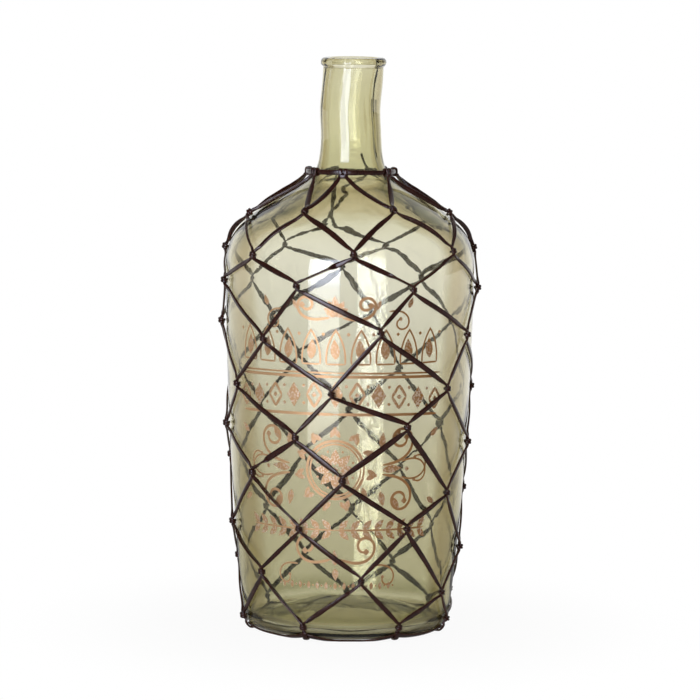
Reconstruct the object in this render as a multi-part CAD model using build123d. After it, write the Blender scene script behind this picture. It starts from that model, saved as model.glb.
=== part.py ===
from build123d import *
import math
import os

# A tall glass bottle vase held in a hand-knotted net of flat leather lace.
# The bottle is one blown piece: lip bead, slim neck, sloping shoulder, tapering body,
# small heel and a pushed-up base. It has no stopper.
# Round the foot of the neck lies the neck lace, a tied ring of flat lace. Seven net laces
# hang from it, each folded in half over the ring so that two legs run down the glass.
# Neighbouring legs meet, are tied, part and meet again, which gives ten rows of knots.
# Below the last row the legs turn over the base lace, which is drawn tight under the heel.
# The bottle stands on the base lace. Lengths are in millimetres, +Z is up, the origin is
# on the floor under the middle of the bottle, and -Y is the front.

# Glass, from the base up
bearing_radius = 59.0
bearing_width = 5.0
punt_height = 11.0
base_thickness = 5.0
heel_radius = 8.0
wall = 3.5
body_length = 226.0
body_middle_radius = 76.0
body_middle_share = 0.475
body_radius = 80.6
shoulder_length = 57.5
shoulder_slope = 30.0
shoulder_rise_share = 0.52
shoulder_reach_share = 0.83
flare_length = 38.5
flare_width = 19.3
flare_reach_share = 0.74
flare_rise_share = 0.82
neck_foot_radius = 19.5
neck_length = 40.0
neck_waist = 0.8
neck_wall = 3.7
lip_bead_height = 7.0
lip_overhang = 1.7
lip_crown_width = 1.8
mouth_edge_round = 1.4
mouth_bore_depth = 26.0

# Leather lace and its knots
lace_width = 3.0
lace_thickness = 1.2
knot_lace_width = 2.4
knot_height = 5.0
knot_clearance = 0.05
knot_overlap = 0.05
lace_gap = 0.2
turn_split = 0.35
turn_groove = 0.7
turn_chamfer = 0.9
mouth_reach = 1.0
bend_length = 3.4
longest_span = 18.0

# Neck lace
neck_lace_play = 8.8
neck_lace_width = 3.2
loop_width = 5.2
loop_play = 0.15
loop_groove = 0.35
neck_tie_angle = 133.0
long_tail_rise = 11.0
long_tail_sway = 2.0
short_tail_length = 9.0

# Base lace
foot_flat = 0.3
base_lace_play = 0.3
leg_end_length = 2.2
base_lace_spans = 16
base_tie_share = 0.16
base_tie_span = 3

# The net: where each knot lies. Columns run to the right round the bottle from the front.
# Even rows lie below the lace ends on the neck lace, odd rows between them.
# A turn share is how far a knot has slipped from its even place, in column spacings.
# A height share is the height of a knot over the glass base, in bottle heights.
neck_turn_shares = (-0.19, 0.07, -0.04, -0.05, -0.03, -0.04, -0.05)
knot_turn_shares = (
    (0.04, 0.06, 0.06, 0.20, -0.06, -0.06, -0.06),
    (0.03, 0.05, -0.04, 0.16, 0.13, 0.09, 0.05),
    (0.06, 0.10, 0.29, 0.06, 0.04, 0.04, 0.04),
    (0.27, 0.29, 0.33, 0.30, 0.28, 0.29, 0.20),
    (0.48, 0.46, 0.51, 0.49, 0.36, 0.31, 0.35),
    (0.54, 0.47, 0.47, 0.50, 0.47, 0.46, 0.52),
    (0.56, 0.50, 0.46, 0.45, 0.50, 0.51, 0.45),
    (0.58, 0.51, 0.49, 0.46, 0.45, 0.49, 0.54),
    (0.63, 0.60, 0.49, 0.47, 0.48, 0.57, 0.64),
    (0.56, 0.32, 0.41, 0.50, 0.55, 0.58, 0.55),
)
knot_height_shares = (
    (0.739, 0.727, 0.717, 0.714, 0.716, 0.724, 0.735),
    (0.672, 0.672, 0.664, 0.651, 0.654, 0.663, 0.664),
    (0.614, 0.602, 0.600, 0.608, 0.600, 0.614, 0.619),
    (0.541, 0.526, 0.528, 0.533, 0.528, 0.538, 0.524),
    (0.438, 0.420, 0.431, 0.457, 0.452, 0.439, 0.436),
    (0.377, 0.334, 0.339, 0.350, 0.366, 0.361, 0.358),
    (0.254, 0.238, 0.252, 0.274, 0.293, 0.288, 0.286),
    (0.199, 0.146, 0.156, 0.171, 0.188, 0.188, 0.199),
    (0.075, 0.052, 0.079, 0.095, 0.112, 0.114, 0.110),
    (0.024, 0.023, 0.023, 0.024, 0.024, 0.022, 0.024),
)
row_count = len(knot_turn_shares)
column_count = len(neck_turn_shares)
column_spacing = 360.0 / column_count

# Places that follow from the sizes above
glass_floor = lace_thickness + lace_gap - foot_flat
bearing_inner_radius = bearing_radius - bearing_width
shoulder_radius = neck_foot_radius + flare_width
shoulder_height = body_length + shoulder_length
neck_foot_height = shoulder_height + flare_length
neck_top_height = neck_foot_height + neck_length
bottle_height = neck_top_height + lip_bead_height
mouth_bore_radius = neck_foot_radius - neck_waist - neck_wall
glass_samples = 48


def on_glass(radius, height):
    """A point of the outline, in the XZ plane, from its height over the glass base."""
    return Vector(radius, 0, glass_floor + height)


def quarter_share():
    """How far the middle of a quarter round lies in from its corner, in radii."""
    return 1 - math.sqrt(0.5)


def side_edges(inset):
    """The body, shoulder and neck flare of the glass, moved inwards by inset."""
    slope = math.radians(shoulder_slope)
    along = Vector(-math.cos(slope), 0, math.sin(slope))
    sideways = Vector(-inset, 0, 0)
    shoulder = on_glass(shoulder_radius, shoulder_height)
    shoulder -= Vector(math.sin(slope), 0, math.cos(slope)) * inset
    heel_top = on_glass(bearing_radius + heel_radius, heel_radius) + sideways
    body_middle = on_glass(body_middle_radius, body_length * body_middle_share) + sideways
    body_top = on_glass(body_radius, body_length) + sideways
    foot = on_glass(neck_foot_radius, neck_foot_height) + sideways
    body = Bezier(heel_top, body_middle * 2 - (heel_top + body_top) / 2, body_top)
    shoulder_width = body_radius - shoulder_radius
    reach = shoulder_width * shoulder_reach_share / math.cos(slope)
    crown = Bezier(
        body_top, body_top + (body % 1) * (shoulder_length * shoulder_rise_share),
        shoulder - along * reach, shoulder,
    )
    flare = Bezier(
        shoulder, shoulder + along * (flare_width * flare_reach_share),
        foot - Vector(0, 0, flare_length * flare_rise_share), foot,
    )
    return body, crown, flare


def heel_edges():
    """The flat ring that the glass stands on, and the round of the heel above it."""
    heel_middle = on_glass(
        bearing_radius + heel_radius * math.sqrt(0.5), heel_radius * quarter_share()
    )
    heel_top = on_glass(bearing_radius + heel_radius, heel_radius)
    bearing = Line(on_glass(bearing_inner_radius, 0), on_glass(bearing_radius, 0))
    return bearing, ThreePointArc(on_glass(bearing_radius, 0), heel_middle, heel_top)


def dome_line(edge, top):
    """An arc from edge up to top, with its centre on the axis of the bottle."""
    rise = top.Z - edge.Z
    radius = (edge.X ** 2 + rise ** 2) / (2 * rise)
    half_turn = math.asin(edge.X / radius) / 2
    middle = Vector(radius * math.sin(half_turn), 0, top.Z - radius * (1 - math.cos(half_turn)))
    return ThreePointArc(edge, middle, top)


def glass_bottle():
    """One revolved solid: outer wall, lip bead, bore, inner wall and pushed-up base."""
    body, crown, flare = side_edges(0)
    inner_body, inner_crown, inner_flare = side_edges(wall)
    neck_foot = flare @ 1
    neck_middle = on_glass(neck_foot_radius - neck_waist, neck_foot_height + neck_length / 2)
    neck_top = on_glass(neck_foot_radius, neck_top_height)
    bead_side = on_glass(neck_foot_radius + lip_overhang, neck_top_height + lip_bead_height / 2)
    rim_edge = mouth_edge_round * quarter_share()
    bead_top = on_glass(mouth_bore_radius + mouth_edge_round + lip_crown_width, bottle_height)
    rim_top = on_glass(mouth_bore_radius + mouth_edge_round, bottle_height)
    rim_middle = on_glass(mouth_bore_radius + rim_edge, bottle_height - rim_edge)
    rim_foot = on_glass(mouth_bore_radius, bottle_height - mouth_edge_round)
    bore_foot = on_glass(mouth_bore_radius, bottle_height - mouth_bore_depth)

    inner_heel = inner_body @ 0
    floor_edge = on_glass(inner_heel.X - heel_radius, base_thickness)
    corner = Vector(inner_heel.X - floor_edge.X, 0, inner_heel.Z - floor_edge.Z)
    inner_heel_middle = Vector(
        inner_heel.X - corner.X * quarter_share(), 0, floor_edge.Z + corner.Z * quarter_share()
    )
    punt_top = on_glass(0, punt_height)
    floor_top = on_glass(0, punt_height + base_thickness)

    outline = [
        *heel_edges(), body, crown, flare,
        ThreePointArc(neck_foot, neck_middle, neck_top),
        ThreePointArc(neck_top, bead_side, bead_top),
        Line(bead_top, rim_top),
        ThreePointArc(rim_top, rim_middle, rim_foot),
        Line(rim_foot, bore_foot),
        Line(bore_foot, inner_flare @ 1),
        inner_flare, inner_crown, inner_body,
        ThreePointArc(inner_heel, inner_heel_middle, floor_edge),
        dome_line(floor_edge, floor_top),
        Line(floor_top, punt_top),
        dome_line(on_glass(bearing_inner_radius, 0), punt_top),
    ]
    return revolve(make_face(outline), Axis.Z).solid()


def sampled_side():
    """Points up the outer line of the glass as (radius, height, normal out, normal up)."""
    samples = []
    for edge in (*heel_edges(), *side_edges(0)):
        for step in range(glass_samples):
            place = edge @ (step / glass_samples)
            tangent = edge % (step / glass_samples)
            samples.append((place.X, place.Z, tangent.Z, -tangent.X))
    return samples


side = sampled_side()


def blend_samples(low, high, share):
    return tuple(a + (b - a) * share for a, b in zip(low, high))


def side_at_height(height):
    """The glass at a height above the floor."""
    for low, high in zip(side, side[1:]):
        if low[1] <= height < high[1]:
            return blend_samples(low, high, (height - low[1]) / (high[1] - low[1]))
    return side[-1]


def side_at_radius(radius):
    """The glass of the flare where its outer radius is as given."""
    for high, low in zip(side[::-1], side[-2::-1]):
        if high[0] <= radius < low[0]:
            return blend_samples(low, high, (low[0] - radius) / (low[0] - high[0]))
    return side[-1]


def side_nearest(radius, height):
    """The nearest glass to a point, and how far outside the glass the point is."""
    best = None
    for low, high in zip(side, side[1:]):
        run = (high[0] - low[0], high[1] - low[1])
        length = run[0] ** 2 + run[1] ** 2
        share = ((radius - low[0]) * run[0] + (height - low[1]) * run[1]) / length
        found = blend_samples(low, high, min(1.0, max(0.0, share)))
        away = math.dist(found[:2], (radius, height))
        if best is None or away < best[0]:
            best = (away, found)
    found = best[1]
    outside = (radius - found[0]) * found[2] + (height - found[1]) * found[3]
    return found, outside


def side_below(sample, drop):
    """The glass a given way further down the outer line."""
    index = max(i for i, other in enumerate(side) if i == 0 or other[1] < sample[1])
    here = sample
    while index > 0:
        step = math.dist(here[:2], side[index][:2])
        if step >= drop:
            return blend_samples(here, side[index], drop / step)
        drop -= step
        here = side[index]
        index -= 1
    return here


def round_bottle(angle, radius, height):
    """A point at an angle round the bottle, counted to the right from the front."""
    turn = math.radians(angle)
    return Vector(radius * math.sin(turn), -radius * math.cos(turn), height)


def frame_on(sample, angle):
    """The plane on the glass at a sample: X to the right, Y up the glass, Z outwards."""
    turn = math.radians(angle)
    outwards = Vector(sample[2] * math.sin(turn), -sample[2] * math.cos(turn), sample[3])
    right = Vector(math.cos(turn), math.sin(turn), 0)
    return Plane(round_bottle(angle, sample[0], sample[1]), x_dir=right, z_dir=outwards)


def frame_nearest(point):
    """The plane on the glass nearest to a point, and how far outside the point is."""
    sample, outside = side_nearest(math.hypot(point.X, point.Y), point.Z)
    return frame_on(sample, math.degrees(math.atan2(point.X, -point.Y))), outside


def knot_place(row, column):
    """The glass and the angle at a knot. Rows count from 1."""
    between = 0.5 if row % 2 else 0.0
    slip = knot_turn_shares[row - 1][column % column_count]
    height_share = knot_height_shares[row - 1][column % column_count]
    sample = side_at_height(glass_floor + height_share * bottle_height)
    return sample, (column + between + slip) * column_spacing


# Levels over the glass: on it, of the two legs inside a knot, and of a knot's face
resting_level = lace_gap + lace_thickness / 2
turn_floor = lace_gap + lace_thickness
tying_level = turn_floor + lace_thickness / 2 - knot_overlap
passing_level = tying_level + lace_thickness + 2 * knot_clearance
slot_roof = passing_level + lace_thickness / 2 + 2 * knot_clearance
knot_depth = slot_roof + lace_thickness
slot_width = knot_lace_width + 2 * knot_clearance
knot_width = slot_width + 2 * lace_thickness


def knot_turns():
    """A knot: two turns of lace, one over the other, round a slot that both legs run through."""
    half = knot_width / 2
    outline = Polyline(
        (-half, lace_gap), (half, lace_gap), (half, knot_depth - turn_chamfer),
        (half - turn_chamfer, knot_depth), (turn_chamfer - half, knot_depth),
        (-half, knot_depth - turn_chamfer), close=True,
    )
    slot_height = slot_roof - turn_floor
    slot = Pos(0, turn_floor + slot_height / 2) * Rectangle(slot_width, slot_height)
    turns = extrude(Plane.XZ * (make_face(outline) - slot), knot_height / 2, both=True)
    groove = Pos(0, 0, knot_depth) * Box(2 * knot_width, turn_split, 2 * turn_groove)
    return (turns - groove).solid()


def lace_solid(stations, endless=False):
    """A flat lace through stations of (middle, normal, width), with cut ends or endless."""
    rings = []
    if endless:
        before, after = stations[-1:] + stations[:-1], stations[1:] + stations[:1]
    else:
        before, after = stations[:1] + stations[:-1], stations[1:] + stations[-1:]
    for (middle, normal, width), previous, following in zip(stations, before, after):
        ahead = following[0] - previous[0]
        across = ahead.cross(normal).normalized()
        out = across.cross(ahead).normalized()
        half_width = across * (width / 2)
        half_depth = out * (lace_thickness / 2)
        rings.append([
            middle - half_width - half_depth, middle + half_width - half_depth,
            middle + half_width + half_depth, middle - half_width + half_depth,
        ])
    if endless:
        rings.append(rings[0])
        faces = []
    else:
        faces = [Face(Wire.make_polygon(rings[0])), Face(Wire.make_polygon(rings[-1]))]
    for near, far in zip(rings, rings[1:]):
        for corner in range(4):
            beside = (corner + 1) % 4
            for outline in (
                [near[corner], near[beside], far[beside]],
                [near[corner], far[beside], far[corner]],
            ):
                faces.append(Face(Wire.make_polygon(outline)))
    return Solid(Shell(faces))


def strand(start, end, level):
    """Stations of a tight lace between two knots, off the glass where a straight line is.
    The passing leg holds its level for a bend at each knot, clear of the tying leg."""
    run = end - start
    reach = run.length
    bend = bend_length if level == passing_level else 0
    spans = math.ceil((reach - 2 * bend) / longest_span)
    places = [bend + (reach - 2 * bend) * step / spans for step in range(spans + 1)]
    frames = []
    points = []
    for place in places:
        frame, outside = frame_nearest(start + run * (place / reach))
        least = level if place in (places[0], places[-1]) else resting_level
        frames.append(frame)
        points.append(frame.origin + frame.z_dir * max(outside, least))
    lifts = [0.0] * len(points)
    for index in range(spans):
        _, outside = frame_nearest((points[index] + points[index + 1]) / 2)
        shortage = max(0.0, resting_level - outside)
        lifts[index] = max(lifts[index], shortage)
        lifts[index + 1] = shortage
    widths = [knot_lace_width] + [lace_width] * (spans - 1) + [knot_lace_width]
    stations = [(point + frame.z_dir * lift, frame.z_dir, width)
                for point, frame, lift, width in zip(points, frames, lifts, widths)]
    return stations if bend else stations[1:-1]


def through_knot(frame, level):
    """Stations of a lace through a knot, from above its upper mouth to below its lower one."""
    half = frame.y_dir * (knot_height / 2 + mouth_reach)
    middle = frame.origin + frame.z_dir * level
    return [
        (middle + half, frame.z_dir, knot_lace_width),
        (middle - half, frame.z_dir, knot_lace_width),
    ]


def leg(column, way, level):
    """One leg of a net lace. way is 1 for the right leg and -1 for the left one."""
    angle = loop_angle(column)
    side_step = way * math.degrees(loop_width / 4 / neck_lace_radius)
    start = round_bottle(
        angle + side_step, loop_leg_radius, loop_floor + lace_thickness / 2
    )
    stations = [(start, round_bottle(angle, 1, 0), knot_lace_width)]
    for row in range(1, row_count + 1):
        knot_column = column if row % 2 == 0 or way > 0 else column - 1
        passing = through_knot(frame_on(*knot_place(row, knot_column)), level)
        stations += strand(stations[-1][0], passing[0][0], level)
        stations += passing
    if way > 0:
        stations += leg_end(*knot_place(row_count, column))
    return lace_solid(stations)


def leg_end(sample, angle):
    """The end of the right leg: over the base lace, then in against the glass below it."""
    stations = []
    over_lace = resting_level + lace_thickness + 2 * lace_gap
    edge = lace_width / 2 + base_lace_play
    for drop, level in (
        (base_lace_drop - edge, over_lace),
        (base_lace_drop + edge, over_lace),
        (base_lace_drop + edge + leg_end_length, resting_level),
    ):
        frame = frame_on(side_below(sample, drop), angle)
        stations.append((frame.origin + frame.z_dir * level, frame.z_dir, knot_lace_width))
    return stations


base_lace_drop = knot_height / 2 + mouth_reach + lace_width / 2 + 3 * base_lace_play

# The fold of a net lace over the neck lace, seated on the flare of the glass
neck_lace_radius = neck_foot_radius + neck_lace_play
loop_hole_depth = lace_thickness + 2 * loop_play
loop_hole_height = neck_lace_width + 2 * knot_clearance
loop_inner_radius = neck_lace_radius - loop_hole_depth / 2 - lace_thickness
loop_leg_radius = neck_lace_radius + loop_hole_depth / 2 + lace_thickness / 2
loop_floor = side_at_radius(loop_inner_radius - lace_gap)[1]
neck_lace_floor = loop_floor + lace_thickness + knot_clearance


def loop_angle(column):
    return (column + neck_turn_shares[column % column_count]) * column_spacing


def upright_plane(angle, radius, height):
    """A plane that stands on the neck lace: X to the right, Y up, Z outwards."""
    turn = math.radians(angle)
    right = Vector(math.cos(turn), math.sin(turn), 0)
    return Plane(round_bottle(angle, radius, height), x_dir=right, z_dir=round_bottle(angle, 1, 0))


def neck_loop(column):
    """The fold of a net lace: two turns side by side over the neck lace."""
    height = loop_hole_height + 2 * lace_thickness
    depth = loop_hole_depth + 2 * lace_thickness
    block = Box(loop_width, height, depth)
    block = chamfer(block.edges().filter_by(Axis.X).group_by(Axis.Y)[-1], turn_chamfer)
    hole = Box(2 * loop_width, loop_hole_height, loop_hole_depth)
    groove = Pos(0, height / 2, depth / 2) * Box(loop_groove, height, lace_thickness)
    block = block - hole - groove
    seat = upright_plane(loop_angle(column), neck_lace_radius, loop_floor + height / 2)
    return (seat.location * block).solid()


def net_lace(column):
    """One folded lace with all its knots. Its right leg ties them, its left runs through."""
    right_leg = leg(column, 1, tying_level)
    left_leg = leg(column, -1, passing_level)
    knots = [
        frame_on(*knot_place(row, column)).location * knot_pattern
        for row in range(1, row_count + 1)
    ]
    return right_leg.fuse(left_leg, neck_loop(column), *knots)


def neck_lace():
    """The ring of lace round the neck, with its tie and two cut tails."""
    middle = neck_lace_floor + neck_lace_width / 2
    outer = Pos(0, 0, middle) * Cylinder(neck_lace_radius + lace_thickness / 2, neck_lace_width)
    bore = Pos(0, 0, middle) * Cylinder(
        neck_lace_radius - lace_thickness / 2, 2 * neck_lace_width
    )
    seat = upright_plane(neck_tie_angle, neck_lace_radius + lace_thickness / 2, middle)
    tie = Box(knot_height, neck_lace_width + lace_thickness, 3 * lace_thickness)
    tie = chamfer(tie.edges().filter_by(Axis.X), turn_chamfer)
    up = seat.y_dir
    inwards = seat.z_dir * -lace_thickness
    top = seat.origin + up * long_tail_rise
    long_tail = lace_solid([
        (seat.origin, seat.z_dir, knot_lace_width),
        (seat.origin + up * neck_lace_width, seat.z_dir, knot_lace_width),
        (seat.origin + up * (long_tail_rise / 2) + inwards, seat.z_dir, lace_width),
        (top + inwards * 2 + seat.x_dir * long_tail_sway, seat.z_dir, lace_width),
    ])
    slope = math.radians(shoulder_slope)
    down = seat.z_dir * math.cos(slope) - up * math.sin(slope)
    off_glass = seat.z_dir * math.sin(slope) + up * math.cos(slope)
    short_tail = lace_solid([
        (seat.origin, off_glass, knot_lace_width),
        (seat.origin + down * (short_tail_length / 2), off_glass, lace_width),
        (seat.origin + down * short_tail_length - seat.x_dir * long_tail_sway,
         off_glass, lace_width),
    ])
    ring = (outer - bore).solid()
    return ring.fuse((seat.location * tie).solid(), long_tail, short_tail)


def base_lace():
    """The lace drawn tight under the heel, from knot to knot, with its tie and flat feet."""
    corners = []
    for column in range(column_count):
        sample, angle = knot_place(row_count, column)
        frame = frame_on(side_below(sample, base_lace_drop), angle)
        corners.append(frame.origin + frame.z_dir * resting_level)
    stations = []
    for start, end in zip(corners, corners[1:] + corners[:1]):
        for step in range(base_lace_spans):
            frame, _ = frame_nearest(start + (end - start) * (step / base_lace_spans))
            middle = frame.origin + frame.z_dir * resting_level
            stations.append((middle, frame.z_dir, lace_width))
    ring = lace_solid(stations, endless=True)
    tie_index = int((base_tie_span + base_tie_share) * base_lace_spans)
    middle, out = stations[tie_index][:2]
    ahead = (stations[tie_index + 1][0] - middle).normalized()
    tie = Box(knot_height, lace_width + lace_thickness, 2 * lace_thickness)
    tie = chamfer(tie.edges().filter_by(Axis.X), turn_chamfer)
    tie_plane = Plane(middle + out * (lace_thickness / 2), x_dir=ahead, z_dir=out)
    whole = ring.fuse((tie_plane.location * tie).solid())
    floor = Pos(0, 0, -lace_width) * Box(4 * body_radius, 4 * body_radius, 2 * lace_width)
    return whole - floor


knot_pattern = knot_turns()


def save(shape, name):
    """Write a sub-part and print what it measures."""
    solids = shape.solids()
    export_step(Compound(children=list(solids)) if len(solids) > 1 else solids[0],
                f"parts/{name}.step")
    print(name, len(solids), "solids", round(sum(s.volume for s in solids), 1), "mm3")


if __name__ == "__main__":
    os.makedirs("parts", exist_ok=True)
    save(glass_bottle(), "glass_bottle")
    save(neck_lace(), "neck_lace")
    save(base_lace(), "base_lace")
    for column in range(column_count):
        save(net_lace(column), f"net_lace_{column + 1}")
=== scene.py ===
# %% [markdown]
# # A glass bottle vase in a net of knotted leather lace
# The object is one blown bottle of pale olive glass, held in a hand-tied net of flat brown
# lace. The CAD model gives every size and place: the glass, a lace round the neck, seven
# folded laces with their knots, and a lace under the heel. This script dresses them.
# It starts by loading that model as a fixed frame. Nothing that is made here may grow out of
# it.

# %% Load the imported model
import math

import bmesh
import bpy
from mathutils import Matrix, Vector, noise


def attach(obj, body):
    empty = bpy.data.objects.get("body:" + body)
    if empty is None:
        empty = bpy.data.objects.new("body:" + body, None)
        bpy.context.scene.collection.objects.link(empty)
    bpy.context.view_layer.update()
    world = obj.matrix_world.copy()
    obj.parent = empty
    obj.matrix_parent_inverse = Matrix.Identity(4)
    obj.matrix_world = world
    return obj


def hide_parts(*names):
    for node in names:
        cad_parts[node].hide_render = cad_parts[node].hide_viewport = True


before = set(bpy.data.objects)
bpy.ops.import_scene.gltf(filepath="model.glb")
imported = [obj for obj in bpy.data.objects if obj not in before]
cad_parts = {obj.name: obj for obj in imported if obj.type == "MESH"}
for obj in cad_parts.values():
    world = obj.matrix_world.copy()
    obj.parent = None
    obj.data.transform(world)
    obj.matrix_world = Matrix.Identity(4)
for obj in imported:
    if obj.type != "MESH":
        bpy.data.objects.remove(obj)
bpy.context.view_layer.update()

print("CAD nodes:", sorted(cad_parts))

# %% [markdown]
# ## Camera
# The photograph is taken from a long way off with a long lens, a little above the bottle, so
# the mouth and the base show as thin ellipses. The camera could be placed by eye, but a known
# height, distance and aim keep the proportions true. It is rolled by a little over half a
# degree, because the bottle in the picture leans as much.

# %% Place the camera
camera_distance = 2.4
camera_height = 0.469
camera_side = 0.0006
aim_height = 0.1804
camera_roll = math.radians(0.6)
focal_pixels = 3722
picture_pixels = 700
sensor_width = 36

camera_data = bpy.data.cameras.new("camera")
camera_data.sensor_width = sensor_width
camera_data.lens = focal_pixels / picture_pixels * sensor_width
camera = bpy.data.objects.new("camera", camera_data)
bpy.context.collection.objects.link(camera)
look_down = math.atan2(camera_height - aim_height, camera_distance)
camera.matrix_world = (
    Matrix.Translation((camera_side, -camera_distance, camera_height))
    @ Matrix.Rotation(math.radians(90) - look_down, 4, "X")
    @ Matrix.Rotation(camera_roll, 4, "Z")
)
bpy.context.scene.camera = camera
bpy.context.scene.view_settings.view_transform = "Standard"
print("lens", round(camera_data.lens, 1), "mm, looking down", round(math.degrees(look_down), 2))

# %% [markdown]
# ## The outline of the glass
# A blown bottle is round, so one outline says all of it: pushed-up base, small heel, body that
# widens upwards, crown, sloping shoulder, flare, slim neck and lip bead. The outline could be
# traced point by point. It is made of a few Bezier curves and arcs instead, with the sizes of
# the CAD model, so the glass and everything that lies on it share one formula. Only the lip
# bead is lower than there, and the neck as much longer.

# %% Sizes of the glass
glass_floor = 0.0011
bearing_radius = 0.059
bearing_width = 0.005
punt_height = 0.011
base_thickness = 0.005
heel_radius = 0.008
wall = 0.0035
body_length = 0.226
body_middle_radius = 0.076
body_middle_share = 0.475
body_radius = 0.0806
shoulder_length = 0.0575
shoulder_slope = math.radians(30)
shoulder_rise_share = 0.52
shoulder_reach_share = 0.83
flare_length = 0.0385
flare_width = 0.0193
flare_reach_share = 0.74
flare_rise_share = 0.82
neck_foot_radius = 0.0195
neck_length = 0.0412
neck_waist = 0.0008
neck_wall = 0.0037
lip_bead_height = 0.0058
lip_overhang = 0.0017
lip_crown_width = 0.0018
mouth_edge_round = 0.0014
mouth_bore_depth = 0.026

shoulder_radius = neck_foot_radius + flare_width
shoulder_height = body_length + shoulder_length
neck_foot_height = shoulder_height + flare_length
neck_top_height = neck_foot_height + neck_length
bottle_height = neck_top_height + lip_bead_height
mouth_bore_radius = neck_foot_radius - neck_waist - neck_wall
print("bottle", round(bottle_height, 4), "m tall,", round(2 * body_radius, 4), "m across")

# %% Curves of the outline


def ease(share):
    """0 to 1 with a soft start and a soft end."""
    share = min(1, max(0, share))
    return share * share * (3 - 2 * share)


def curve_point(points, share):
    """A point on the Bezier curve that these control points draw."""
    while len(points) > 1:
        points = [low.lerp(high, share) for low, high in zip(points, points[1:])]
    return points[0]


def curve_run(points, count):
    """Count points along a Bezier curve, without its last one."""
    return [curve_point(points, step / count) for step in range(count)]


def arc_run(start, middle, end, count):
    """Count points along the arc through three points, without its last one."""
    chords = [(middle, start), (end, middle)]
    (ax, ay), (bx, by) = [(a - b) for a, b in chords]
    c, d = [(a.length_squared - b.length_squared) / 2 for a, b in chords]
    spread = ax * by - ay * bx
    centre = Vector(((c * by - d * ay) / spread, (ax * d - bx * c) / spread))
    spoke = start - centre
    turn = spoke.angle_signed(middle - centre) + (middle - centre).angle_signed(end - centre)
    return [centre + Matrix.Rotation(-turn * step / count, 2) @ spoke for step in range(count)]


def dome_run(edge, top, count):
    """Points from an edge in to the axis, over a dome whose centre is on the axis."""
    rise = top - edge.y
    radius = (edge.x ** 2 + rise ** 2) / (2 * rise)
    widths = [edge.x * (1 - step / count) for step in range(count)]
    return [Vector((x, top - radius + math.sqrt(radius ** 2 - x ** 2))) for x in widths]


def side_curves(inset):
    """Control points of the body, the crown with the shoulder, and the neck flare."""
    along = Vector((-math.cos(shoulder_slope), math.sin(shoulder_slope)))
    sideways = Vector((-inset, 0))
    shoulder = Vector((shoulder_radius, shoulder_height))
    shoulder -= Vector((math.sin(shoulder_slope), math.cos(shoulder_slope))) * inset
    heel_top = Vector((bearing_radius + heel_radius, heel_radius)) + sideways
    body_middle = Vector((body_middle_radius, body_length * body_middle_share)) + sideways
    body_top = Vector((body_radius, body_length)) + sideways
    foot = Vector((neck_foot_radius, neck_foot_height)) + sideways
    body_control = body_middle * 2 - (heel_top + body_top) / 2
    rise = (body_top - body_control).normalized() * (shoulder_length * shoulder_rise_share)
    reach = (body_radius - shoulder_radius) * shoulder_reach_share / math.cos(shoulder_slope)
    return (
        [heel_top, body_control, body_top],
        [body_top, body_top + rise, shoulder - along * reach, shoulder],
        [shoulder, shoulder + along * (flare_width * flare_reach_share),
         foot - Vector((0, flare_length * flare_rise_share)), foot],
    )


# %% The whole outline, outside and inside
samples_per_curve = 40
samples_per_arc = 10
quarter_in = 1 - math.sqrt(0.5)

outer_body, outer_crown, outer_flare = side_curves(0)
bearing_edge = Vector((bearing_radius, 0))
heel_middle = bearing_edge + heel_radius * Vector((math.sqrt(0.5), quarter_in))
bearing_inside = Vector((bearing_radius - bearing_width, 0))
underside = dome_run(bearing_inside, punt_height, samples_per_curve)
heel_line = [bearing_inside]
heel_line += arc_run(bearing_edge, heel_middle, outer_body[0], 3 * samples_per_arc)
side_line = heel_line[:]
for controls in (outer_body, outer_crown, outer_flare):
    side_line += curve_run(controls, samples_per_curve)
neck_line = [
    Vector((neck_foot_radius, neck_foot_height + neck_length * step / samples_per_curve))
    for step in range(samples_per_curve)
]
neck_top = Vector((neck_foot_radius, neck_top_height))
bead_side = neck_top + Vector((lip_overhang, lip_bead_height / 2))
rim_top = Vector((mouth_bore_radius + mouth_edge_round, bottle_height))
bead_top = rim_top + Vector((lip_crown_width, 0))
rim_middle = rim_top - mouth_edge_round * Vector((1 - quarter_in, quarter_in))
rim_foot = Vector((mouth_bore_radius, bottle_height - mouth_edge_round))
outside_line = underside[:0:-1] + side_line + neck_line
outside_line += arc_run(neck_top, bead_side, bead_top, 2 * samples_per_arc)
outside_line += [bead_top] + arc_run(rim_top, rim_middle, rim_foot, samples_per_arc)
print("outside of the glass:", len(outside_line), "points")

inner_body, inner_crown, inner_flare = side_curves(wall)
bore_foot = Vector((mouth_bore_radius, bottle_height - mouth_bore_depth))
inner_heel = inner_body[0]
floor_edge = Vector((inner_heel.x - heel_radius, base_thickness))
corner = inner_heel - floor_edge
inner_heel_middle = floor_edge + Vector((corner.x * (1 - quarter_in), corner.y * quarter_in))
inside_line = [rim_foot.lerp(bore_foot, step / samples_per_curve)
               for step in range(samples_per_curve)]
inside_line += [bore_foot.lerp(inner_flare[-1], step / samples_per_arc)
                for step in range(samples_per_arc)]
for controls in (inner_flare, inner_crown, inner_body):
    inside_line += curve_run(controls[::-1], samples_per_curve)
inside_line += arc_run(inner_heel, inner_heel_middle, floor_edge, samples_per_arc)
inside_line += dome_run(floor_edge, punt_height + base_thickness, samples_per_curve)
print("inside of the glass:", len(inside_line), "points")

# %% [markdown]
# ## Spinning the glass
# A lathe would give a perfect wall, and perfect glass looks like plastic. Real blown glass is
# a little uneven, mostly on the inside, and that is what bends the laces seen through it. So
# each ring of the spun mesh is moved in and out by slow noise, more inside than outside, and
# by upright ripples in the neck, where the glass was drawn out.

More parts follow.
